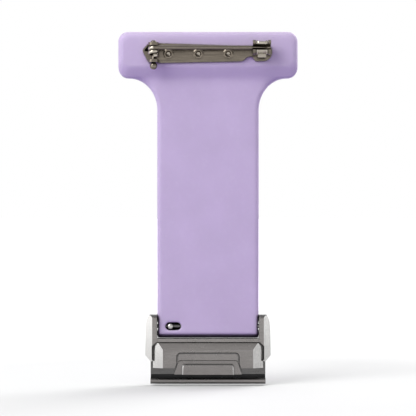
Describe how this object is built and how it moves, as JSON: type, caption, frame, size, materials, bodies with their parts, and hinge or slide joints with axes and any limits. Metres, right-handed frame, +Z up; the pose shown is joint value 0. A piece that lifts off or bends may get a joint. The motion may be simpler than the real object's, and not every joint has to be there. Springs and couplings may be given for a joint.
{
  "type": "fob watch strap",
  "caption": "Pin-on fob strap for a watch module: soft T-shaped strap, locking bar pin behind its head, and a sprung metal watch adapter that swings on a spring bar.",
  "frame": {"origin": "middle of the head bar's back face, where the bar pin is seated and the cloth lies", "axes": "+Z runs up the hanging strap, +Y points from the head bar into the garment, -Y is the face seen in wear, +X is the side of the bar pin's hinge"},
  "size_m": [0.0392, 0.0109, 0.077],
  "materials": {
    "silicone": "soft matt silicone",
    "stainless": "plain turned or drawn stainless steel",
    "nickel_plate": "bright warm nickel plating",
    "brushed_frame": "brushed stainless steel with polished bevels"
  },
  "bodies": {
    "strap": {"fob_strap": "silicone", "head_insert_plate": "stainless", "brooch_base_plate": "nickel_plate", "brooch_rivet_1": "nickel_plate", "brooch_rivet_2": "nickel_plate", "brooch_rivet_3": "nickel_plate", "brooch_hinge_pin": "nickel_plate", "spring_bar_tube": "stainless", "spring_bar_fixed_tip": "stainless", "spring_bar_spring": "stainless"},
    "needle": {"brooch_needle": "nickel_plate"},
    "sleeve": {"brooch_locking_sleeve": "nickel_plate"},
    "release": {"spring_bar_plunger": "stainless", "release_knob": "stainless"},
    "adapter": {"adapter_frame": "brushed_frame", "adapter_tongue": "brushed_frame", "adapter_back_cover": "brushed_frame", "latch_axle": "stainless", "latch_spring": "stainless", "adapter_screw_left": "stainless", "adapter_screw_right": "stainless"},
    "latch": {"latch_lever": "brushed_frame"}
  },
  "joints": [
    {"name": "needle_open", "type": "hinge", "parent": "strap", "child": "needle", "pos_m": [0.0118, 0.0022, 0], "axis": [0, 0, -1], "range_deg": [0, 95]},
    {"name": "sleeve_turn", "type": "hinge", "parent": "strap", "child": "sleeve", "pos_m": [-0.01165, 0.003, 0.0012], "axis": [1, 0, 0], "range_deg": [0, 100]},
    {"name": "knob_release", "type": "slide", "parent": "strap", "child": "release", "axis": [-1, 0, 0], "range_m": [0, 0.0012], "stiffness_N_per_m": 400, "springref_m": -0.003, "deforming": ["spring_bar_spring"]},
    {"name": "adapter_swing", "type": "hinge", "parent": "strap", "child": "adapter", "pos_m": [0, -0.0031, -0.0594], "axis": [1, 0, 0], "range_deg": [-90, 90]},
    {"name": "latch_press", "type": "hinge", "parent": "adapter", "child": "latch", "pos_m": [0, -0.00228, -0.06455], "axis": [-1, 0, 0], "range_deg": [0, 8], "stiffness_Nm_per_rad": 0.02, "springref_deg": -17.19, "deforming": ["latch_spring"]}
  ]
}
